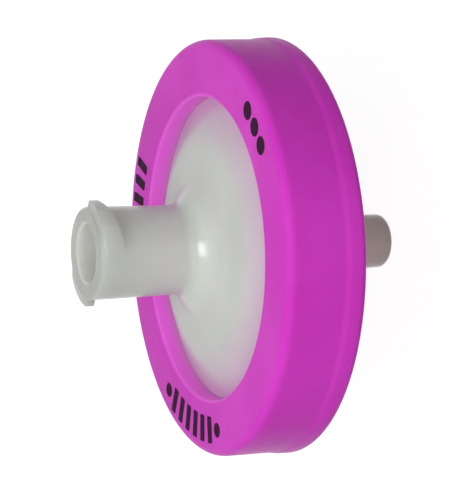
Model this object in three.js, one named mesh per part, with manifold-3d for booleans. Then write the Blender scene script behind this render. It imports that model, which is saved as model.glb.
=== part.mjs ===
// Disc syringe filter, 31 mm across, in millimetres, +Z up.
// Liquid enters the female luer lock inlet at the top, spreads over a membrane disc clamped
// between two moulded housings, and leaves by the male luer slip at the bottom.  A coloured
// ring is moulded around the rims of both housings and holds them together.
// The origin is on the flow axis at the flat end of the outlet.
import * as THREE from 'three';
import { mergeVertices } from 'three/addons/utils/BufferGeometryUtils.js';
import Module from 'manifold-3d';

// ---- driving dimensions ----------------------------------------------------------------

// Membrane
const membraneRadius = 12.5;
const membraneThickness = 0.2;
const membraneClearance = 0.15;  // around its edge, in the pocket
const membraneGrip = 1.2;        // width of its edge that the housings clamp

// Moulded discs of the two housings
const discRim = 1.25;            // around the membrane's pocket
const discBevelDeg = 24.7;       // steep outer part, from the window's wall to the shoulder
const discBevelWidth = 3.0;
const discShoulderRounding = 6.0;
const discSlopeDeg = 7.0;        // from the shoulder on the disc rises gently to the tube

// Space on each side of the membrane
const chamberHeight = 0.45;      // at its edge
const chamberSlopeDeg = 3.0;     // it grows higher towards the hole

// Overmoulded ring
const ringWall = 1.5;            // around the rims of the discs
const ringOverlap = 2.65;        // from the rims of the discs in to the window
const ringThickness = 6.0;
const ringTopRounding = 0.68;
const ringBottomRounding = 0.5;
const bandHeight = 1.65;         // slightly wider band below the mould's parting line
const bandStep = 0.1;
const bandSlope = 0.4;          // height over which the step runs out
const bandDraft = 0.05;          // radius lost over the height of the band
const windowTaper = 0.05;        // each face's round window narrows by this down to the disc
const windowRounding = 0.25;
const recessDepth = 1.42;        // ring face down to the disc, at the window's wall

// Inlet: female luer lock
const inletLength = 9.2;         // ring's top face to the mouth
const inletMouthRadius = 3.4;
const inletBaseRadius = 3.3;
const inletFlareStart = 2.05;    // above the ring's top face
const mouthRounding = 0.3;
const luerMouthRadius = 2.15;    // female cone at its mouth
const luerSocketDepth = 9.0;
const luerLeadIn = 0.2;
const inletHoleRadius = 1.1;     // from the socket down to the chamber
const lugReach = 0.55;           // lug crest beyond the mouth's outside
const lugRootWidth = 1.68;
const lugCrestWidth = 1.4;
const lugSpanDeg = 89;
const lugRampDeg = 40;           // the lower end rises gently out of the tube
const lugEndDeg = -9;            // the steep upper end, from +X
const lugEndBelowMouth = 0.05;   // middle of the thread at its steep end
const lugSetBack = 0.1;          // trimmed this far below the mouth plane
const lugLead = 5.0;             // right-hand thread, two starts

// Outlet: male luer slip
const outletLength = 8.85;       // ring's bottom face to the outlet's flat end
const outletTipRadius = 2.0;
const outletConeLength = 7.5;
const outletTipRounding = 0.6;
const outletHoleRadius = 1.1;

// Both flares, from a tube to its disc
const flareDeg = 45;
const flareTopRounding = 1.2;
const flareFootRounding = 4.0;
const outletFlareRounding = 0.5;

// Standard 6 % luer taper: the radius grows by this for each millimetre
const luerTaper = 0.03;

// Ribs that spread the flow above the membrane
const spreaderCount = 8;
const spreaderWidth = 0.7;
const spreaderStartGap = 0.8;    // from the inlet's hole
const spreaderClearance = 0.2;   // above the membrane
const spreaderRoot = 0.3;        // sunk into the disc it hangs from
const spreaderEndGap = 0.3;      // short of the chamber's wall

// Rings that carry the membrane, notched so that the filtrate reaches the hole
const supportRingCount = 4;
const supportRingWidth = 0.55;
const supportRingStartGap = 1.5; // from the outlet's hole to the first ring
const supportRingEndGap = 1.7;   // from the last ring to the chamber's wall
const notchCount = 8;
const notchWidth = 0.8;
const notchDepth = 0.4;

// Facets
const segments = 48;
const roundingSteps = 3;
const lugSegments = 8;
const lugToe = 0.05;             // share of a lug's height that its lower end starts with

// ---- heights and radii that follow -----------------------------------------------------

const slopeOf = (degrees) => Math.tan(THREE.MathUtils.degToRad(degrees));

const ringBottom = outletLength;
const ringTop = ringBottom + ringThickness;
const ringMiddle = ringBottom + ringThickness / 2;
const mouthHeight = ringTop + inletLength;
const membraneBottom = ringMiddle - membraneThickness / 2;
const membraneTop = ringMiddle + membraneThickness / 2;

const chamberRadius = membraneRadius - membraneGrip;
const pocketRadius = membraneRadius + membraneClearance;
const discRadius = pocketRadius + discRim;
const sideRadius = discRadius + ringWall;
const bandTopRadius = sideRadius + bandStep;
const ringRadius = bandTopRadius + bandDraft;
const windowRadius = discRadius - ringOverlap;
const windowFootRadius = windowRadius - windowTaper;
const shoulderRadius = windowFootRadius - discBevelWidth;

const spreaderStart = inletHoleRadius + spreaderStartGap;
const supportRingStart = outletHoleRadius + supportRingStartGap;
const lastSupportRing = chamberRadius - supportRingEndGap - supportRingWidth;
const supportRingPitch = (lastSupportRing - supportRingStart) / (supportRingCount - 1);

// Depth below the ring's face of a disc's outer surface, at a radius up to its shoulder
const shoulderDepth = recessDepth - discBevelWidth * slopeOf(discBevelDeg);
const discDepth = (radius) => shoulderDepth - (shoulderRadius - radius) * slopeOf(discSlopeDeg);
const inletDiscTop = (radius) => ringTop - discDepth(radius);
const outletDiscBottom = (radius) => ringBottom + discDepth(radius);
const inletRimTop = ringTop - recessDepth;
const outletRimBottom = ringBottom + recessDepth;

// Height of the space beside the membrane at a radius
const chamberDepth = (radius) => (
  chamberHeight + (chamberRadius - radius) * slopeOf(chamberSlopeDeg)
);
const chamberCeiling = (radius) => membraneTop + chamberDepth(radius);
const chamberFloor = (radius) => membraneBottom - chamberDepth(radius);

// Radius at which a flare that leaves a tube at a height above the ring's face meets the disc
function flareFootRadius(tubeRadius, heightAboveFace) {
  const flare = slopeOf(flareDeg);
  const drop = heightAboveFace + discDepth(tubeRadius);
  return tubeRadius + drop / (flare - slopeOf(discSlopeDeg));
}

// ---- shape helpers ---------------------------------------------------------------------

const wasm = await Module();
wasm.setup();

// Points of a closed outline; each corner is [radius, height] or [radius, height, rounding]
function roundedOutline(corners) {
  const points = [];
  corners.forEach(([radius, height, rounding = 0], index) => {
    const corner = new THREE.Vector2(radius, height);
    if (rounding === 0) {
      points.push(corner);
      return;
    }
    const before = corners.at(index - 1);
    const after = corners[(index + 1) % corners.length];
    const toBefore = new THREE.Vector2(before[0], before[1]).sub(corner).normalize();
    const toAfter = new THREE.Vector2(after[0], after[1]).sub(corner).normalize();
    const halfAngle = Math.acos(toBefore.dot(toAfter)) / 2;
    const toCentre = toBefore.clone().add(toAfter).setLength(rounding / Math.sin(halfAngle));
    const centre = corner.clone().add(toCentre);
    const tangentLength = rounding / Math.tan(halfAngle);
    const start = corner.clone().addScaledVector(toBefore, tangentLength).sub(centre);
    const sweep = (Math.PI - 2 * halfAngle) * -Math.sign(toBefore.cross(toAfter));
    for (let step = 0; step <= roundingSteps; step += 1) {
      const turned = start.clone().rotateAround(new THREE.Vector2(), sweep * step / roundingSteps);
      points.push(turned.add(centre));
    }
  });
  return points;
}

// A geometry as a solid that can be joined and cut
function toSolid(geometry) {
  const bare = geometry.clone();
  bare.deleteAttribute('normal');
  bare.deleteAttribute('uv');
  const merged = mergeVertices(bare);
  return new wasm.Manifold(new wasm.Mesh({
    numProp: 3,
    vertProperties: new Float32Array(merged.attributes.position.array),
    triVerts: new Uint32Array(merged.index.array),
  }));
}

function toGeometry(solid) {
  const { numProp, vertProperties, triVerts } = solid.getMesh();
  const geometry = new THREE.BufferGeometry();
  const positions = new Float32Array(vertProperties);
  geometry.setAttribute('position', new THREE.BufferAttribute(positions, numProp));
  geometry.setIndex(new THREE.BufferAttribute(new Uint32Array(triVerts), 1));
  geometry.computeVertexNormals();
  return geometry;
}

// Turns a closed outline, counter-clockwise in (radius, height), about the flow axis
function turn(corners) {
  const points = roundedOutline(corners);
  points.push(points[0].clone());
  const geometry = new THREE.LatheGeometry(points, segments);
  geometry.rotateX(Math.PI / 2);
  return geometry;
}

// An upright plate lying along +X, from its outline in (radius, height) and its width
function radialPlate(outline, width) {
  const shape = new THREE.Shape(outline.map(([radius, height]) => new THREE.Vector2(radius, height)));
  const geometry = new THREE.ExtrudeGeometry(shape, { depth: width, bevelEnabled: false });
  geometry.translate(0, 0, -width / 2);
  geometry.rotateX(Math.PI / 2);
  return geometry;
}

// The same plate repeated at even steps around the flow axis
function around(count, makePlate) {
  return Array.from({ length: count }, (_, index) => (
    toSolid(makePlate().rotateZ(index * 2 * Math.PI / count))
  ));
}

// ---- overmoulded ring ------------------------------------------------------------------

function ringGeometry() {
  return turn([
    // lower window, outwards over the bottom face, up the side and back over the top face
    [windowFootRadius, outletRimBottom],
    [windowRadius, ringBottom, windowRounding],
    [ringRadius, ringBottom, ringBottomRounding],
    [bandTopRadius, ringBottom + bandHeight - bandSlope],
    [sideRadius, ringBottom + bandHeight],
    [sideRadius, ringTop, ringTopRounding],
    [windowRadius, ringTop, windowRounding],
    // upper window, then down around the rims of both discs
    [windowFootRadius, inletRimTop],
    [discRadius, inletRimTop],
    [discRadius, outletRimBottom],
  ]);
}

// ---- inlet housing ---------------------------------------------------------------------

function inletBodyGeometry() {
  const footRadius = flareFootRadius(inletBaseRadius, inletFlareStart);
  const socketFloor = mouthHeight - luerSocketDepth;
  const socketFloorRadius = luerMouthRadius - luerSocketDepth * luerTaper;
  return turn([
    // underside, from the hole out over the chamber's ceiling to the clamping rim
    [inletHoleRadius, chamberCeiling(inletHoleRadius)],
    [chamberRadius, chamberCeiling(chamberRadius)],
    [chamberRadius, membraneTop],
    [discRadius, membraneTop],
    // outer surface, in from the rim, up the flare and along the tube
    [discRadius, inletRimTop],
    [windowFootRadius, inletRimTop],
    [shoulderRadius, inletDiscTop(shoulderRadius), discShoulderRounding],
    [footRadius, inletDiscTop(footRadius), flareFootRounding],
    [inletBaseRadius, ringTop + inletFlareStart, flareTopRounding],
    [inletMouthRadius, mouthHeight, mouthRounding],
    // socket
    [luerMouthRadius + luerLeadIn, mouthHeight],
    [luerMouthRadius - luerLeadIn * luerTaper, mouthHeight - luerLeadIn],
    [socketFloorRadius, socketFloor],
    [inletHoleRadius, socketFloor],
  ]);
}

// A lug: a short piece of coarse thread that follows the helix.  Its lower end rises out of
// the tube, its upper end is steep and it is trimmed just below the mouth.
function lugGeometry(endDeg) {
  const crestRadius = inletMouthRadius + lugReach;
  const rootRadius = (luerMouthRadius + inletMouthRadius) / 2;
  const span = THREE.MathUtils.degToRad(lugSpanDeg);
  const ramp = THREE.MathUtils.degToRad(lugRampDeg);
  const sector = new THREE.Shape();
  sector.absarc(0, 0, crestRadius, -span, 0, false);
  sector.absarc(0, 0, rootRadius, 0, -span, true);
  const geometry = new THREE.ExtrudeGeometry(sector, {
    depth: 1,
    bevelEnabled: false,
    curveSegments: lugSegments,
  });
  const position = geometry.attributes.position;
  for (let index = 0; index < position.count; index += 1) {
    const x = position.getX(index);
    const y = position.getY(index);
    const angle = Math.atan2(y, x);
    const onCrest = Math.hypot(x, y) > inletMouthRadius;
    const risen = onCrest ? THREE.MathUtils.clamp((angle + span) / ramp, lugToe, 1) : 0;
    const radius = THREE.MathUtils.lerp(rootRadius, crestRadius, risen);
    const width = onCrest ? lugCrestWidth : lugRootWidth;
    const middle = mouthHeight - lugEndBelowMouth + angle / (2 * Math.PI) * lugLead;
    const height = middle + (position.getZ(index) - 0.5) * width;
    const trimmed = Math.min(height, mouthHeight - lugSetBack);
    position.setXYZ(index, radius * Math.cos(angle), radius * Math.sin(angle), trimmed);
  }
  geometry.rotateZ(THREE.MathUtils.degToRad(endDeg));
  return geometry;
}

function spreaderGeometry() {
  const endRadius = chamberRadius - spreaderEndGap;
  const bottom = membraneTop + spreaderClearance;
  return radialPlate([
    [spreaderStart, bottom],
    [endRadius, bottom],
    [endRadius, chamberCeiling(endRadius) + spreaderRoot],
    [spreaderStart, chamberCeiling(spreaderStart) + spreaderRoot],
  ], spreaderWidth);
}

function inletHousingGeometry() {
  let solid = toSolid(inletBodyGeometry());
  for (const endDeg of [lugEndDeg, lugEndDeg + 180]) {
    solid = solid.add(toSolid(lugGeometry(endDeg)));
  }
  for (const spreader of around(spreaderCount, spreaderGeometry)) {
    solid = solid.add(spreader);
  }
  return toGeometry(solid);
}

// ---- outlet housing --------------------------------------------------------------------

// Corners of one support ring that stands on the sloping floor, from its inside outwards
function supportRingCorners(index) {
  const inner = supportRingStart + index * supportRingPitch;
  const outer = inner + supportRingWidth;
  return [
    [outer, chamberFloor(outer)],
    [outer, membraneBottom],
    [inner, membraneBottom],
    [inner, chamberFloor(inner)],
  ];
}

function outletBodyGeometry() {
  const coneTop = outletConeLength;
  const coneTopRadius = outletTipRadius + outletConeLength * luerTaper;
  const footRadius = flareFootRadius(coneTopRadius, ringBottom - coneTop);
  const supportRings = Array.from({ length: supportRingCount }, (_, index) => (
    supportRingCorners(supportRingCount - 1 - index)
  ));
  return turn([
    // outside, from the flat end up the cone, out along the flare and the disc
    [outletHoleRadius, 0],
    [outletTipRadius, 0, outletTipRounding],
    [coneTopRadius, coneTop, outletFlareRounding],
    [footRadius, outletDiscBottom(footRadius), outletFlareRounding],
    [shoulderRadius, outletDiscBottom(shoulderRadius), discShoulderRounding],
    [windowFootRadius, outletRimBottom],
    [discRadius, outletRimBottom],
    // rim with the membrane's pocket
    [discRadius, membraneTop],
    [pocketRadius, membraneTop],
    [pocketRadius, membraneBottom],
    [chamberRadius, membraneBottom],
    // chamber floor with its support rings, inwards to the hole
    [chamberRadius, chamberFloor(chamberRadius)],
    ...supportRings.flat(),
    [outletHoleRadius, chamberFloor(outletHoleRadius)],
  ]);
}

function notchGeometry() {
  const innerRadius = supportRingStart - supportRingWidth;
  const outerRadius = lastSupportRing + 2 * supportRingWidth;
  return radialPlate([
    [innerRadius, membraneBottom - notchDepth],
    [outerRadius, membraneBottom - notchDepth],
    [outerRadius, membraneTop],
    [innerRadius, membraneTop],
  ], notchWidth);
}

function outletHousingGeometry() {
  let solid = toSolid(outletBodyGeometry());
  for (const notch of around(notchCount, notchGeometry)) {
    solid = solid.subtract(notch);
  }
  return toGeometry(solid);
}

// ---- membrane --------------------------------------------------------------------------

function membraneGeometry() {
  const geometry = new THREE.CylinderGeometry(
    membraneRadius,
    membraneRadius,
    membraneThickness,
    segments,
  );
  geometry.rotateX(Math.PI / 2);
  geometry.translate(0, 0, ringMiddle);
  return geometry;
}

// ---- scene graph -----------------------------------------------------------------------

function piece(name, geometry, material) {
  const mesh = new THREE.Mesh(geometry, new THREE.MeshStandardMaterial(material));
  mesh.name = name;
  return mesh;
}

const naturalPolypropylene = { color: 0xdcdcd8, roughness: 0.35, metalness: 0 };
const magentaPolypropylene = { color: 0xc94fbd, roughness: 0.4, metalness: 0 };
const whiteMembrane = { color: 0xf3f1ea, roughness: 0.95, metalness: 0 };

const filter = new THREE.Group();
filter.add(piece('overmould_ring', ringGeometry(), magentaPolypropylene));
filter.add(piece('inlet_housing', inletHousingGeometry(), naturalPolypropylene));
filter.add(piece('outlet_housing', outletHousingGeometry(), naturalPolypropylene));
filter.add(piece('membrane_disc', membraneGeometry(), whiteMembrane));

export default filter;
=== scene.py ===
"""Looks of the disc syringe filter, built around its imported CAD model.

Lengths are in metres in the row frame: the flow axis is Z, the outlet's flat end is at z = 0
and the inlet mouth is at the top.  Heights come from the frame's boxes.
"""

import math

import bpy
import numpy as np
from mathutils import Matrix, Vector

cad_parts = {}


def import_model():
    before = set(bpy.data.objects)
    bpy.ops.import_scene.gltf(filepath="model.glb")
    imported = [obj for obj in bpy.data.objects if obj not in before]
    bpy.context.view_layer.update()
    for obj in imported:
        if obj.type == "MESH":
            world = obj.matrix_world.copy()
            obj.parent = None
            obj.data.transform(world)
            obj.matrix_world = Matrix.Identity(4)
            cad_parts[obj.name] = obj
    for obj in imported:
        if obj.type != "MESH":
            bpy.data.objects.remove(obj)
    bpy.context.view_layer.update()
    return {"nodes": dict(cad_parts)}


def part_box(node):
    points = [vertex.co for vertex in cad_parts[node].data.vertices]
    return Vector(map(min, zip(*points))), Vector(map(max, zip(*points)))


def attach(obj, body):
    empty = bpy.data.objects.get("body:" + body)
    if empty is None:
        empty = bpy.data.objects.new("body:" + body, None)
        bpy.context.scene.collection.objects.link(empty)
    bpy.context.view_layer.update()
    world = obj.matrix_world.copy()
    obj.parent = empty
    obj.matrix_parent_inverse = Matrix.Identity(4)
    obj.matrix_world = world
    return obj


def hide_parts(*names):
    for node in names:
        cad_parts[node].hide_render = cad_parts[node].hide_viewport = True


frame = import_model()

MM = 0.001

# ---- heights from the frame --------------------------------------------------------------

RING_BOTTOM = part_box("overmould_ring")[0][2]
RING_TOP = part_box("overmould_ring")[1][2]
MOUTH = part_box("inlet_housing")[1][2]
MEMBRANE_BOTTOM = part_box("membrane_disc")[0][2]
MEMBRANE_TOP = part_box("membrane_disc")[1][2]
OUTLET_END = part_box("outlet_housing")[0][2]
DISC_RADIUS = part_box("inlet_housing")[1][0]

# ---- sizes, the same as the solids' ------------------------------------------------------

RING_RADIUS = 15.55 * MM
RING_TOP_ROUNDING = 0.68 * MM
RING_BOTTOM_ROUNDING = 0.5 * MM
BAND_HEIGHT = 1.65 * MM           # slightly wider band below the parting line
BAND_STEP = 0.1 * MM
BAND_SLOPE = 0.4 * MM             # height over which the step runs out
BAND_DRAFT = 0.05 * MM            # radius lost over the height of the band
BAND_ROUNDING = 1.0 * MM
WINDOW_RADIUS = 11.25 * MM
WINDOW_TAPER = 0.05 * MM          # the window narrows by this down to the disc
WINDOW_ROUNDING = 0.25 * MM
RECESS_DEPTH = 1.42 * MM          # ring's face down to the disc, at the window's wall

DISC_BEVEL = math.tan(math.radians(24.7))
DISC_BEVEL_WIDTH = 3.0 * MM       # steep outer part, from the window's wall to the shoulder
DISC_SHOULDER_ROUNDING = 6.0 * MM
DISC_SLOPE = math.tan(math.radians(7.0))

INLET_MOUTH_RADIUS = 3.4 * MM
INLET_BASE_RADIUS = 3.3 * MM
INLET_FLARE_START = 2.05 * MM
MOUTH_ROUNDING = 0.3 * MM
LUER_MOUTH_RADIUS = 2.15 * MM
LUER_SOCKET_DEPTH = 9.0 * MM
LUER_LEAD_IN = 0.2 * MM
LUER_LEAD_IN_ROUNDING = 0.08 * MM
LUER_TAPER = 0.03                 # radius gained for each length
SOCKET_FLOOR_ROUNDING = 0.2 * MM
HOLE_RADIUS = 1.1 * MM
HOLE_ROUNDING = 0.1 * MM

LUG_REACH = 0.55 * MM             # lug crest beyond the mouth's outside
LUG_ROOT_WIDTH = 1.68 * MM
LUG_CREST_WIDTH = 1.4 * MM
LUG_SPAN_DEG = 89
LUG_RAMP_DEG = 40                 # the lower end rises gently out of the tube
LUG_STEEP_DEG = 4
LUG_END_DEG = -9                  # the steep upper end, from +X
LUG_END_BELOW_MOUTH = 0.05 * MM   # middle of the thread at its steep end
LUG_SET_BACK = 0.1 * MM           # trimmed this far below the mouth
LUG_EDGE = 0.12 * MM              # height over which the trimmed side falls
LUG_LEAD = 5.0 * MM               # right-hand thread, two starts
LUG_REGION = 3.2 * MM             # below the mouth, meshed finely for the lugs

OUTLET_TIP_RADIUS = 2.0 * MM
OUTLET_CONE_LENGTH = 7.5 * MM
OUTLET_TIP_ROUNDING = 0.6 * MM
OUTLET_HOLE_ROUNDING = 0.08 * MM

FLARE = math.tan(math.radians(45))
FLARE_TOP_ROUNDING = 1.2 * MM
FLARE_FOOT_ROUNDING = 4.0 * MM
OUTLET_FLARE_ROUNDING = 0.5 * MM

MEMBRANE_RADIUS = 12.5 * MM
POCKET_RADIUS = MEMBRANE_RADIUS + 0.15 * MM
CHAMBER_RADIUS = MEMBRANE_RADIUS - 1.2 * MM
CHAMBER_HEIGHT = 0.45 * MM        # at its edge
CHAMBER_SLOPE = math.tan(math.radians(3.0))
SPREADERS = 8
SPREADER_WIDTH = 0.7 * MM
SPREADER_START = HOLE_RADIUS + 0.8 * MM
SPREADER_END = CHAMBER_RADIUS - 0.3 * MM
SPREADER_CLEARANCE = 0.2 * MM     # above the membrane
SUPPORT_RINGS = 4
SUPPORT_RING_WIDTH = 0.55 * MM
SUPPORT_RING_START = HOLE_RADIUS + 1.5 * MM
SUPPORT_RING_LAST = CHAMBER_RADIUS - 1.7 * MM - SUPPORT_RING_WIDTH
SUPPORT_RING_PITCH = (SUPPORT_RING_LAST - SUPPORT_RING_START) / (SUPPORT_RINGS - 1)
NOTCHES = 8
NOTCH_WIDTH = 0.8 * MM
NOTCH_DEPTH = 0.4 * MM
NEARBY = 0.02 * MM                # a vertex this close to a surface lies on it

WINDOW_FOOT_RADIUS = WINDOW_RADIUS - WINDOW_TAPER
SHOULDER_RADIUS = WINDOW_FOOT_RADIUS - DISC_BEVEL_WIDTH
SHOULDER_DEPTH = RECESS_DEPTH - DISC_BEVEL_WIDTH * DISC_BEVEL


def disc_depth(radius):
    """Depth of a disc's outer surface below the ring's face, at a radius up to its shoulder."""
    return SHOULDER_DEPTH - (SHOULDER_RADIUS - radius) * DISC_SLOPE


def inlet_disc_top(radius):
    return RING_TOP - disc_depth(radius)


def outlet_disc_bottom(radius):
    return RING_BOTTOM + disc_depth(radius)


def chamber_depth(radius):
    return CHAMBER_HEIGHT + (CHAMBER_RADIUS - radius) * CHAMBER_SLOPE


def chamber_ceiling(radius):
    return MEMBRANE_TOP + chamber_depth(radius)


def chamber_floor(radius):
    return MEMBRANE_BOTTOM - chamber_depth(radius)


def flare_foot_radius(tube_radius, height_above_face):
    drop = height_above_face + disc_depth(tube_radius)
    return tube_radius + drop / (FLARE - DISC_SLOPE)


# ---- turned meshes -----------------------------------------------------------------------

ROUNDING_STEPS = 10
RING_COLUMNS = 480
HOUSING_COLUMNS = 360
LUG_STEP = 0.045 * MM             # longest side of the faces that form the lugs
INSIDE_STEP = 0.35 * MM           # and of those around the chamber


def rounded_outline(corners):
    """Points (radius, height) of a closed outline; a corner may carry a rounding."""
    points = []
    for index, corner in enumerate(corners):
        here = Vector(corner[:2])
        rounding = corner[2] if len(corner) > 2 else 0
        if rounding == 0:
            points.append(here)
            continue
        to_before = (Vector(corners[index - 1][:2]) - here).normalized()
        to_after = (Vector(corners[(index + 1) % len(corners)][:2]) - here).normalized()
        half = math.acos(to_before.dot(to_after)) / 2
        centre = here + (to_before + to_after).normalized() * (rounding / math.sin(half))
        start = here + to_before * (rounding / math.tan(half)) - centre
        turn = math.pi - 2 * half
        if to_before.x * to_after.y - to_before.y * to_after.x > 0:
            turn = -turn
        for step in range(ROUNDING_STEPS + 1):
            spoke = Matrix.Rotation(turn * step / ROUNDING_STEPS, 2) @ start
            points.append(centre + spoke)
    return points


def refined(points, longest, low, high):
    """The closed outline with its stretches between two heights cut into short steps."""
    result = []
    for index, here in enumerate(points):
        there = points[(index + 1) % len(points)]
        result.append(here)
        middle = (here.y + there.y) / 2
        if low <= middle <= high:
            pieces = math.ceil((there - here).length / longest)
            result.extend(here.lerp(there, step / pieces) for step in range(1, pieces))
    return result


def turned_mesh(name, outline, columns, reshape=None):
    """A closed outline turned about Z; reshape may move the vertices of the grid."""
    rows = len(outline)
    angle = np.arange(columns) * 2 * math.pi / columns
    radius = np.array([point.x for point in outline])[:, None] * np.ones(columns)
    height = np.array([point.y for point in outline])[:, None] * np.ones(columns)
    if reshape:
        radius, height = reshape(radius, height, angle[None, :])
    grid = np.stack([radius * np.cos(angle), radius * np.sin(angle), height], axis=-1)
    row = np.arange(rows)[:, None]
    column = np.arange(columns)[None, :]
    next_row = (row + 1) % rows
    next_column = (column + 1) % columns
    corners = [
        row * columns + column,
        row * columns + next_column,
        next_row * columns + next_column,
        next_row * columns + column,
    ]
    faces = np.stack([np.broadcast_to(c, (rows, columns)) for c in corners], axis=-1)
    mesh = bpy.data.meshes.new(name)
    mesh.from_pydata(grid.reshape(-1, 3).tolist(), [], faces.reshape(-1, 4).tolist())
    mesh.shade_smooth()
    return mesh


def add_piece(name, mesh, material, replaced=()):
    piece = bpy.data.objects.new(name, mesh)
    bpy.context.scene.collection.objects.link(piece)
    mesh.materials.append(material)
    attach(piece, "root")
    if replaced:
        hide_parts(*replaced)
    return piece


def sharpen(mesh, degrees):
    """Edges steeper than this keep a hard crease."""
    mesh.set_sharp_from_angle(angle=math.radians(degrees))


# ---- materials ---------------------------------------------------------------------------

MAGENTA_REFLECTION_START = 7.3 * MM            # the disc carries a painted magenta reflection from here out to the window
PALE_WALL_START = 0.75 * MM       # down the window's wall, where it starts to pale
MOUTH_SHADE_HEIGHT = 0.3 * MM             # height below the mouth over which the painted shade on its rim fades in
OUTLET_BOUNCE_END = 2.0 * MM        # how far below the ring the outlet carries painted pink bounce light
DISC_COLOUR_START = 5.0 * MM      # radius from which the disc's colour takes over from the tube's painted shade
CLEAR_DISC_START = 5.5 * MM       # radius from which light no longer spreads in the disc
POLISH_START = 5.0 * MM           # radius inside which the flare and tube are polished
POLISH_FULL = 3.7 * MM

# The Mix node's sockets for colours
MIX_FIRST = 6
MIX_SECOND = 7
MIX_RESULT = 2


def new_material(name):
    material = bpy.data.materials.new(name)
    material.use_nodes = True
    tree = material.node_tree
    shader = tree.nodes["Principled BSDF"]
    return material, tree, shader


def noise(tree, scale, detail):
    coordinates = tree.nodes.new("ShaderNodeTexCoord")
    texture = tree.nodes.new("ShaderNodeTexNoise")
    texture.inputs["Scale"].default_value = scale
    texture.inputs["Detail"].default_value = detail
    tree.links.new(coordinates.outputs["Object"], texture.inputs["Vector"])
    return texture.outputs["Fac"]


def ramp(tree, factor, stops):
    """A colour ramp; stops are (position, linear colour)."""
    node = tree.nodes.new("ShaderNodeValToRGB")
    node.color_ramp.interpolation = "EASE"
    elements = node.color_ramp.elements
    while len(elements) < len(stops):
        elements.new(0.5)
    for element, (position, colour) in zip(elements, stops):
        element.position = position
        element.color = (*colour, 1.0)
    tree.links.new(factor, node.inputs["Fac"])
    return node.outputs["Color"]


def map_range(tree, value, low, high, to_low, to_high, eased=False):
    node = tree.nodes.new("ShaderNodeMapRange")
    if eased:
        node.interpolation_type = "SMOOTHSTEP"
    node.inputs["From Min"].default_value = low
    node.inputs["From Max"].default_value = high
    node.inputs["To Min"].default_value = to_low
    node.inputs["To Max"].default_value = to_high
    tree.links.new(value, node.inputs["Value"])
    return node.outputs["Result"]


def mix_colour(tree, factor, first, second):
    node = tree.nodes.new("ShaderNodeMix")
    node.data_type = "RGBA"
    tree.links.new(factor, node.inputs["Factor"])
    for socket, value in ((node.inputs[MIX_FIRST], first), (node.inputs[MIX_SECOND], second)):
        if isinstance(value, bpy.types.NodeSocket):
            tree.links.new(value, socket)
        else:
            socket.default_value = (*value, 1.0)
    return node.outputs[MIX_RESULT]


def bump(tree, shader, height, strength, distance):
    node = tree.nodes.new("ShaderNodeBump")
    node.inputs["Strength"].default_value = strength
    node.inputs["Distance"].default_value = distance
    tree.links.new(height, node.inputs["Height"])
    tree.links.new(node.outputs["Normal"], shader.inputs["Normal"])


def radius_from_axis(tree):
    coordinates = tree.nodes.new("ShaderNodeTexCoord")
    flat = tree.nodes.new("ShaderNodeVectorMath")
    flat.operation = "MULTIPLY"
    flat.inputs[1].default_value = (1, 1, 0)
    length = tree.nodes.new("ShaderNodeVectorMath")
    length.operation = "LENGTH"
    tree.links.new(coordinates.outputs["Object"], flat.inputs[0])
    tree.links.new(flat.outputs["Vector"], length.inputs[0])
    return length.outputs["Value"]


def height_above_outlet(tree):
    coordinates = tree.nodes.new("ShaderNodeTexCoord")
    split = tree.nodes.new("ShaderNodeSeparateXYZ")
    tree.links.new(coordinates.outputs["Object"], split.inputs[0])
    return split.outputs["Z"]


def height_from_middle(tree):
    """Distance from the ring's middle plane, alike on both of its faces."""
    offset = tree.nodes.new("ShaderNodeMath")
    offset.operation = "SUBTRACT"
    offset.inputs[1].default_value = (RING_BOTTOM + RING_TOP) / 2
    distance = tree.nodes.new("ShaderNodeMath")
    distance.operation = "ABSOLUTE"
    tree.links.new(height_above_outlet(tree), offset.inputs[0])
    tree.links.new(offset.outputs[0], distance.inputs[0])
    return distance.outputs[0]


def linear(red, green, blue):
    """Linear colour of an sRGB colour given as 0 to 255."""
    def channel(value):
        value /= 255
        return value / 12.92 if value <= 0.04045 else ((value + 0.055) / 1.055) ** 2.4
    return tuple(channel(value) for value in (red, green, blue))


def magenta_plastic():
    """Satin plastic; the walls of both windows carry a painted glow, brighter than the face as a
    stand-in for light scattered into the recess, and paler down towards their foot.
    """
    material, tree, shader = new_material("magenta_polypropylene")
    cloudy = ramp(tree, noise(tree, 140, 4), [
        (0.3, linear(216, 60, 200)),
        (0.7, linear(223, 68, 208)),
    ])
    in_window = map_range(tree, radius_from_axis(tree), WINDOW_RADIUS + WINDOW_ROUNDING,
                          WINDOW_RADIUS, 0, 1)
    half_height = (RING_TOP - RING_BOTTOM) / 2
    near_foot = map_range(tree, height_from_middle(tree), half_height - PALE_WALL_START,
                          half_height - RECESS_DEPTH, 0, 1)
    # painted light: the window's wall is painted brighter than the face, standing in for light
    # scattered into the recess
    painted_wall_glow = mix_colour(tree, near_foot, linear(246, 115, 236), linear(220, 142, 208))
    colour = mix_colour(tree, in_window, cloudy, painted_wall_glow)
    tree.links.new(colour, shader.inputs["Base Color"])
    shader.inputs["Specular IOR Level"].default_value = 0.05
    shader.inputs["Subsurface Weight"].default_value = 0.2
    shader.inputs["Subsurface Radius"].default_value = (1.0, 0.3, 0.8)
    shader.inputs["Subsurface Scale"].default_value = 0.6 * MM
    gloss = map_range(tree, noise(tree, 900, 2), 0.3, 0.7, 0.3, 0.38)
    tree.links.new(gloss, shader.inputs["Roughness"])
    bump(tree, shader, noise(tree, 260, 2), 0.05, 0.05 * MM)
    return material


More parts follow.
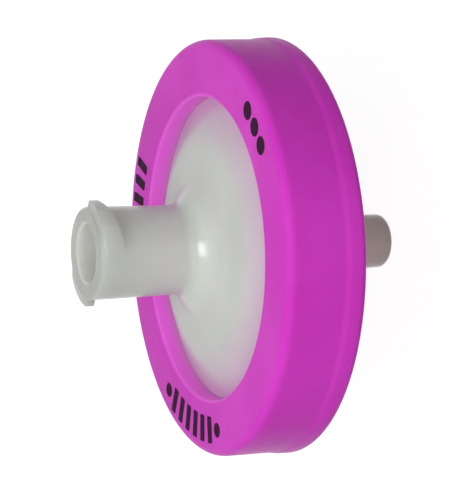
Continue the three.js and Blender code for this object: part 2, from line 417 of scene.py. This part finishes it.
def natural_plastic():
    """Milky plastic, polished on the tubes and flares, with painted light and shade: the tube is
    painted greyer towards its mouth (partly its thin wall's own greyness, partly painted shade) with
    a darker painted rim, its socket painted light, the outlet tinted with painted pink bounce light
    from the ring, and the disc tinted with a painted reflection of the ring's magenta wall next to
    its windows."""
    material, tree, shader = new_material("natural_polypropylene")
    radius = radius_from_axis(tree)
    height = height_above_outlet(tree)
    cloudy = ramp(tree, noise(tree, 160, 4), [
        (0.3, linear(204, 206, 202)),
        (0.7, linear(210, 212, 208)),
    ])
    # painted reflection and bounce light of the ring's magenta window wall, growing out to the
    # window's foot
    painted_magenta_reflection = map_range(tree, radius, MAGENTA_REFLECTION_START, WINDOW_FOOT_RADIUS, 0, 0.39)
    disc = mix_colour(tree, painted_magenta_reflection, cloudy, linear(226, 96, 210))
    # partly painted shade: the tube is painted greyer than the disc and greyer up towards its mouth,
    # partly the thin wall's own greyness; its green tint offsets the ring's pink bounce light
    from_disc = map_range(tree, height, RING_TOP + INLET_FLARE_START, MOUTH, 0, 1)
    tube = mix_colour(tree, from_disc, linear(211, 219, 209), linear(183, 191, 182))
    # painted shade: the mouth's rim is painted darker than the tube
    mouth_shade = map_range(tree, height, MOUTH - MOUTH_SHADE_HEIGHT, MOUTH, 0, 1)
    tube = mix_colour(tree, mouth_shade, tube, linear(157, 159, 154))
    on_disc = map_range(tree, radius, INLET_MOUTH_RADIUS + LUG_REACH, DISC_COLOUR_START, 0, 1)
    colour = mix_colour(tree, on_disc, tube, disc)
    # painted light: the socket's inside is painted lighter than the tube, standing in for light
    # scattered through its thin wall
    painted_socket_light = map_range(tree, radius, LUER_MOUTH_RADIUS + LUER_LEAD_IN, LUER_MOUTH_RADIUS, 0, 1)
    colour = mix_colour(tree, painted_socket_light, colour, linear(206, 209, 202))
    # painted light: the outlet is tinted pink-brown, standing in for bounce light from the magenta
    # ring
    outlet_bounce = map_range(tree, height, RING_BOTTOM, RING_BOTTOM - OUTLET_BOUNCE_END, 0, 1)
    colour = mix_colour(tree, outlet_bounce, colour, linear(246, 200, 194))
    tree.links.new(colour, shader.inputs["Base Color"])
    cloudiness = map_range(tree, radius, INLET_MOUTH_RADIUS, CLEAR_DISC_START, 1, 0)
    tree.links.new(cloudiness, shader.inputs["Subsurface Weight"])
    shader.inputs["Subsurface Radius"].default_value = (1.0, 0.97, 0.9)
    shader.inputs["Subsurface Scale"].default_value = 5.0 * MM
    shader.inputs["Specular IOR Level"].default_value = 0.1
    shader.inputs["Roughness"].default_value = 0.28
    polished = map_range(tree, radius, POLISH_FULL, POLISH_START, 0.5, 0, eased=True)
    tree.links.new(polished, shader.inputs["Coat Weight"])
    shader.inputs["Coat Roughness"].default_value = 0.08
    bump(tree, shader, noise(tree, 110, 1), 0.03, 0.05 * MM)
    return material


def membrane_sheet():
    material, tree, shader = new_material("membrane")
    colour = ramp(tree, noise(tree, 2500, 5), [
        (0.35, linear(236, 234, 226)),
        (0.65, linear(247, 246, 241)),
    ])
    tree.links.new(colour, shader.inputs["Base Color"])
    shader.inputs["Roughness"].default_value = 0.95
    bump(tree, shader, noise(tree, 4000, 4), 0.2, 0.02 * MM)
    return material


def print_ink():
    material, tree, shader = new_material("print_ink")
    colour = ramp(tree, noise(tree, 1600, 4), [
        (0.3, linear(44, 16, 42)),
        (0.75, linear(60, 26, 56)),
    ])
    tree.links.new(colour, shader.inputs["Base Color"])
    shader.inputs["Specular IOR Level"].default_value = 0.02
    shader.inputs["Roughness"].default_value = 0.5
    bump(tree, shader, noise(tree, 3000, 3), 0.1, 0.02 * MM)
    return material


# ---- pieces ------------------------------------------------------------------------------

def overmould_ring():
    band_top = RING_RADIUS - BAND_DRAFT
    side = band_top - BAND_STEP
    foot = WINDOW_FOOT_RADIUS
    outline = rounded_outline([
        (foot, RING_BOTTOM + RECESS_DEPTH),
        (WINDOW_RADIUS, RING_BOTTOM, WINDOW_ROUNDING),
        (RING_RADIUS, RING_BOTTOM, RING_BOTTOM_ROUNDING),
        (band_top, RING_BOTTOM + BAND_HEIGHT - BAND_SLOPE, BAND_ROUNDING),
        (side, RING_BOTTOM + BAND_HEIGHT, BAND_ROUNDING),
        (side, RING_TOP, RING_TOP_ROUNDING),
        (WINDOW_RADIUS, RING_TOP, WINDOW_ROUNDING),
        (foot, RING_TOP - RECESS_DEPTH),
        (DISC_RADIUS, RING_TOP - RECESS_DEPTH),
        (DISC_RADIUS, RING_BOTTOM + RECESS_DEPTH),
    ])
    mesh = turned_mesh("ring", outline, RING_COLUMNS)
    sharpen(mesh, 32)
    return mesh


def smooth(value):
    value = np.clip(value, 0, 1)
    return value * value * (3 - 2 * value)


def lug_share(height, angle):
    """How much of the way out to the lugs' crest the tube's surface reaches, from 0 to 1."""
    behind_end = np.degrees(np.mod(math.radians(LUG_END_DEG) - angle, math.pi))
    rise = smooth(behind_end / LUG_STEEP_DEG) * smooth((LUG_SPAN_DEG - behind_end) / LUG_RAMP_DEG)
    middle = MOUTH - LUG_END_BELOW_MOUTH - behind_end / 360 * LUG_LEAD
    flank = (LUG_ROOT_WIDTH - LUG_CREST_WIDTH) / 2
    inside = (LUG_ROOT_WIDTH / 2 - np.abs(height - middle)) / flank
    trimmed = (MOUTH - LUG_SET_BACK + LUG_EDGE / 2 - height) / LUG_EDGE
    return rise * smooth(inside) * smooth(trimmed)


def reshape_inlet(radius, height, angle):
    """Adds the lugs outside the tube and the spreader ribs under the ceiling."""
    outside = (radius > LUER_MOUTH_RADIUS + LUER_LEAD_IN * 2) & (height > MOUTH - LUG_REGION)
    lugs = (INLET_MOUTH_RADIUS + LUG_REACH - radius) * lug_share(height, angle)
    radius = radius + np.where(outside, lugs, 0)
    step = 2 * math.pi / SPREADERS
    off_rib = np.abs(np.mod(angle + step / 2, step) - step / 2)
    on_rib = (np.sin(np.minimum(off_rib, math.pi / 2)) * radius < SPREADER_WIDTH / 2)
    on_rib &= (radius > SPREADER_START) & (radius < SPREADER_END)
    on_rib &= np.abs(height - chamber_ceiling(radius)) < NEARBY
    height = np.where(on_rib, MEMBRANE_TOP + SPREADER_CLEARANCE, height)
    return radius, height


def inlet_housing():
    foot_radius = flare_foot_radius(INLET_BASE_RADIUS, INLET_FLARE_START)
    socket_floor = MOUTH - LUER_SOCKET_DEPTH
    socket_floor_radius = LUER_MOUTH_RADIUS - LUER_SOCKET_DEPTH * LUER_TAPER
    lead_in_foot_radius = LUER_MOUTH_RADIUS - LUER_LEAD_IN * LUER_TAPER
    lug_foot = MOUTH - LUG_REGION
    tube_foot = RING_TOP + INLET_FLARE_START
    tube_share = (lug_foot - tube_foot) / (MOUTH - tube_foot)
    lug_foot_radius = INLET_BASE_RADIUS + tube_share * (INLET_MOUTH_RADIUS - INLET_BASE_RADIUS)
    outline = rounded_outline([
        (HOLE_RADIUS, chamber_ceiling(HOLE_RADIUS)),
        (SPREADER_START, chamber_ceiling(SPREADER_START)),
        (SPREADER_END, chamber_ceiling(SPREADER_END)),
        (CHAMBER_RADIUS, chamber_ceiling(CHAMBER_RADIUS)),
        (CHAMBER_RADIUS, MEMBRANE_TOP),
        (DISC_RADIUS, MEMBRANE_TOP),
        (DISC_RADIUS, RING_TOP - RECESS_DEPTH),
        (WINDOW_FOOT_RADIUS, RING_TOP - RECESS_DEPTH),
        (SHOULDER_RADIUS, inlet_disc_top(SHOULDER_RADIUS), DISC_SHOULDER_ROUNDING),
        (foot_radius, inlet_disc_top(foot_radius), FLARE_FOOT_ROUNDING),
        (INLET_BASE_RADIUS, tube_foot, FLARE_TOP_ROUNDING),
        (lug_foot_radius, lug_foot),
        (INLET_MOUTH_RADIUS, MOUTH, MOUTH_ROUNDING),
        (LUER_MOUTH_RADIUS + LUER_LEAD_IN, MOUTH, LUER_LEAD_IN_ROUNDING),
        (lead_in_foot_radius, MOUTH - LUER_LEAD_IN, LUER_LEAD_IN_ROUNDING),
        (socket_floor_radius, socket_floor, SOCKET_FLOOR_ROUNDING),
        (HOLE_RADIUS, socket_floor, HOLE_ROUNDING),
    ])
    outline = refined(outline, LUG_STEP, lug_foot, MOUTH)
    outline = refined(outline, INSIDE_STEP, MEMBRANE_TOP, inlet_disc_top(0))
    mesh = turned_mesh("inlet", outline, HOUSING_COLUMNS, reshape_inlet)
    sharpen(mesh, 65)
    return mesh


def reshape_outlet(radius, height, angle):
    """Notches the support rings."""
    step = 2 * math.pi / NOTCHES
    off_notch = np.abs(np.mod(angle + step / 2, step) - step / 2)
    across = np.sin(np.minimum(off_notch, math.pi / 2)) * radius
    on_notch = (across < NOTCH_WIDTH / 2) & (radius < CHAMBER_RADIUS - NEARBY)
    on_notch &= np.abs(height - MEMBRANE_BOTTOM) < NEARBY
    height = np.where(on_notch, MEMBRANE_BOTTOM - NOTCH_DEPTH, height)
    return radius, height


def outlet_housing():
    cone_top = OUTLET_END + OUTLET_CONE_LENGTH
    cone_top_radius = OUTLET_TIP_RADIUS + OUTLET_CONE_LENGTH * LUER_TAPER
    foot_radius = flare_foot_radius(cone_top_radius, RING_BOTTOM - cone_top)
    corners = [
        (HOLE_RADIUS, OUTLET_END, OUTLET_HOLE_ROUNDING),
        (OUTLET_TIP_RADIUS, OUTLET_END, OUTLET_TIP_ROUNDING),
        (cone_top_radius, cone_top, OUTLET_FLARE_ROUNDING),
        (foot_radius, outlet_disc_bottom(foot_radius), OUTLET_FLARE_ROUNDING),
        (SHOULDER_RADIUS, outlet_disc_bottom(SHOULDER_RADIUS), DISC_SHOULDER_ROUNDING),
        (WINDOW_FOOT_RADIUS, RING_BOTTOM + RECESS_DEPTH),
        (DISC_RADIUS, RING_BOTTOM + RECESS_DEPTH),
        (DISC_RADIUS, MEMBRANE_TOP),
        (POCKET_RADIUS, MEMBRANE_TOP),
        (POCKET_RADIUS, MEMBRANE_BOTTOM),
        (CHAMBER_RADIUS, MEMBRANE_BOTTOM),
        (CHAMBER_RADIUS, chamber_floor(CHAMBER_RADIUS)),
    ]
    for index in reversed(range(SUPPORT_RINGS)):
        inner = SUPPORT_RING_START + index * SUPPORT_RING_PITCH
        outer = inner + SUPPORT_RING_WIDTH
        corners += [
            (outer, chamber_floor(outer)),
            (outer, MEMBRANE_BOTTOM),
            (inner, MEMBRANE_BOTTOM),
            (inner, chamber_floor(inner)),
        ]
    corners.append((HOLE_RADIUS, chamber_floor(HOLE_RADIUS)))
    mesh = turned_mesh("outlet", rounded_outline(corners), HOUSING_COLUMNS, reshape_outlet)
    sharpen(mesh, 32)
    return mesh


# ---- printed marks -----------------------------------------------------------------------

INK_THICKNESS = 0.02 * MM
INK_LIFT = 0.004 * MM
MARK_MIDDLE_RADIUS = 13.45 * MM
BAR_HEIGHT = 2.0 * MM
BAR_WIDTH = 0.75 * MM
BAR_CORNER = 0.12 * MM
DOT_SMALL = 1.1 * MM
DOT_LARGE = 1.35 * MM


def mark_mesh(name, loops):
    """Flat marks on the ring's face; each loop is a list of (along, across) in metres about
    the marks' circle, along it and outwards."""
    vertices = []
    faces = []
    low = RING_TOP + INK_LIFT
    for angle_deg, loop in loops:
        start = len(vertices)
        count = len(loop)
        angle = math.radians(angle_deg)
        outwards = Vector((math.cos(angle), math.sin(angle), 0))
        along = Vector((-math.sin(angle), math.cos(angle), 0))
        for height in (low, low + INK_THICKNESS):
            for x, y in loop:
                place = outwards * (MARK_MIDDLE_RADIUS + y) + along * x
                vertices.append((place.x, place.y, height))
        faces.append([start + k for k in reversed(range(count))])
        faces.append([start + count + k for k in range(count)])
        for k in range(count):
            after = (k + 1) % count
            faces.append([start + k, start + after, start + count + after, start + count + k])
    mesh = bpy.data.meshes.new(name)
    mesh.from_pydata(vertices, [], faces)
    return mesh


def bar():
    """A bar with round corners."""
    points = []
    for cx, cy, start in ((1, 1, 0), (-1, 1, 90), (-1, -1, 180), (1, -1, 270)):
        for step in range(4):
            turn = math.radians(start + step * 30)
            x = cx * (BAR_WIDTH / 2 - BAR_CORNER) + BAR_CORNER * math.cos(turn)
            y = cy * (BAR_HEIGHT / 2 - BAR_CORNER) + BAR_CORNER * math.sin(turn)
            points.append((x, y))
    return points


def dot(diameter):
    sides = 20
    turns = (2 * math.pi * step / sides for step in range(sides))
    radius = diameter / 2
    return [(radius * math.cos(turn), radius * math.sin(turn)) for turn in turns]


def printed_marks():
    """Three plain groups, each mark at its angle from +X in degrees: a row of bars between two
    dots, three dots, and three bars."""
    long_group = [(place, bar()) for place in range(150, 181, 6)]
    long_group += [(place, dot(DOT_SMALL)) for place in (144, 186)]
    short_group = [(place, dot(DOT_LARGE)) for place in range(302, 317, 7)]
    side_group = [(place, bar()) for place in range(61, 74, 6)]
    return {"marks_long": long_group, "marks_short": short_group, "marks_side": side_group}


# ---- stage -------------------------------------------------------------------------------

FLOOR_REACH = 4.0
FLOOR_GREY = 0.35
FLOOR_LIFT = 0.885                # lifts the lit floor to white for the camera
WORLD_STRENGTH = 0.32
WORLD_LIFT = 1 - WORLD_STRENGTH


def white_for_camera(tree, shaded, strength):
    """What camera, glossy and transmission rays meet: the shaded surface lifted to white."""
    path = tree.nodes.new("ShaderNodeLightPath")
    most = tree.nodes.new("ShaderNodeMath")
    most.operation = "MAXIMUM"
    more = tree.nodes.new("ShaderNodeMath")
    more.operation = "MAXIMUM"
    tree.links.new(path.outputs["Is Camera Ray"], most.inputs[0])
    tree.links.new(path.outputs["Is Glossy Ray"], most.inputs[1])
    tree.links.new(most.outputs[0], more.inputs[0])
    tree.links.new(path.outputs["Is Transmission Ray"], more.inputs[1])
    lift = tree.nodes.new("ShaderNodeEmission")
    lift.inputs["Strength"].default_value = strength
    together = tree.nodes.new("ShaderNodeAddShader")
    choice = tree.nodes.new("ShaderNodeMixShader")
    tree.links.new(shaded, together.inputs[0])
    tree.links.new(lift.outputs[0], together.inputs[1])
    tree.links.new(more.outputs[0], choice.inputs[0])
    tree.links.new(shaded, choice.inputs[1])
    tree.links.new(together.outputs[0], choice.inputs[2])
    return choice.outputs[0]


def floor():
    mesh = bpy.data.meshes.new("floor")
    corners = [(x * FLOOR_REACH, y * FLOOR_REACH, 0) for x, y in ((-1, -1), (1, -1), (1, 1), (-1, 1))]
    mesh.from_pydata(corners, [], [(0, 1, 2, 3)])
    plane = bpy.data.objects.new("floor", mesh)
    bpy.context.scene.collection.objects.link(plane)
    material, tree, shader = new_material("floor")
    shader.inputs["Base Color"].default_value = (FLOOR_GREY, FLOOR_GREY, FLOOR_GREY, 1)
    shader.inputs["Roughness"].default_value = 0.9
    shader.inputs["Specular IOR Level"].default_value = 0.0
    output = tree.nodes["Material Output"]
    white = white_for_camera(tree, shader.outputs[0], FLOOR_LIFT)
    tree.links.new(white, output.inputs["Surface"])
    mesh.materials.append(material)


def world():
    scene_world = bpy.data.worlds.new("studio")
    bpy.context.scene.world = scene_world
    scene_world.use_nodes = True
    tree = scene_world.node_tree
    background = tree.nodes["Background"]
    background.inputs["Color"].default_value = (1, 1, 1, 1)
    background.inputs["Strength"].default_value = WORLD_STRENGTH
    output = tree.nodes["World Output"]
    white = white_for_camera(tree, background.outputs[0], WORLD_LIFT)
    tree.links.new(white, output.inputs["Surface"])


def lamp(name, place, size, power, mirrored=True):
    """A rectangular lamp aimed at the ring; a plain fill lamp isn't mirrored in gloss."""
    aim = Vector((0, 0, RING_TOP))
    data = bpy.data.lights.new(name, "AREA")
    data.shape = "RECTANGLE"
    data.size, data.size_y = size
    data.energy = power
    light = bpy.data.objects.new(name, data)
    bpy.context.scene.collection.objects.link(light)
    light.location = place
    light.rotation_euler = (aim - Vector(place)).to_track_quat("-Z", "Y").to_euler()
    light.visible_glossy = mirrored


def lamps():
    lamp("near", (0.0, -0.055, 0.115), (0.04, 0.024), 0.05)
    lamp("key", (-0.2, -0.14, 0.32), (0.35, 0.35), 0.1)
    lamp("front", (-0.03, -0.2, 0.08), (0.16, 0.12), 0.1)
    lamp("side", (-0.42, -0.36, 0.14), (0.35, 0.35), 0.3)
    lamp("back", (0.15, 0.5, 0.07), (0.5, 0.12), 0.5, mirrored=False)


def camera():
    """From 23 degrees above, rolled so that the inlet points to the left."""
    distance = 177.2 * MM
    elevation = math.radians(23.0)
    azimuth = math.radians(0.909)
    roll = math.radians(-92.6)
    aim = Vector((-0.225, 0.141, 12.191)) * MM
    backwards = Vector((
        math.sin(azimuth) * math.cos(elevation),
        -math.cos(azimuth) * math.cos(elevation),
        math.sin(elevation),
    ))
    right = Vector((math.cos(azimuth), math.sin(azimuth), 0))
    up = backwards.cross(right)
    turned_right = right * math.cos(roll) + up * math.sin(roll)
    turned_up = up * math.cos(roll) - right * math.sin(roll)
    axes = Matrix((turned_right, turned_up, backwards)).transposed().to_4x4()
    data = bpy.data.cameras.new("camera")
    data.lens = 171.36
    data.sensor_width = 36
    data.clip_start = 0.01
    view = bpy.data.objects.new("camera", data)
    view.matrix_world = Matrix.Translation(aim + backwards * distance) @ axes
    bpy.context.scene.collection.objects.link(view)
    bpy.context.scene.camera = view


# ---- build -------------------------------------------------------------------------------

natural = natural_plastic()
magenta = magenta_plastic()
ink = print_ink()

add_piece("ring_body", overmould_ring(), magenta, ["overmould_ring"])
add_piece("inlet_body", inlet_housing(), natural, ["inlet_housing"])
add_piece("outlet_body", outlet_housing(), natural, ["outlet_housing"])
for mark_name, mark_loops in printed_marks().items():
    add_piece(mark_name, mark_mesh(mark_name, mark_loops), ink)

membrane_object = frame["nodes"]["membrane_disc"]
membrane_object.data.materials.clear()
membrane_object.data.materials.append(membrane_sheet())

floor()
world()
camera()
lamps()

bpy.context.scene.view_settings.view_transform = "Standard"
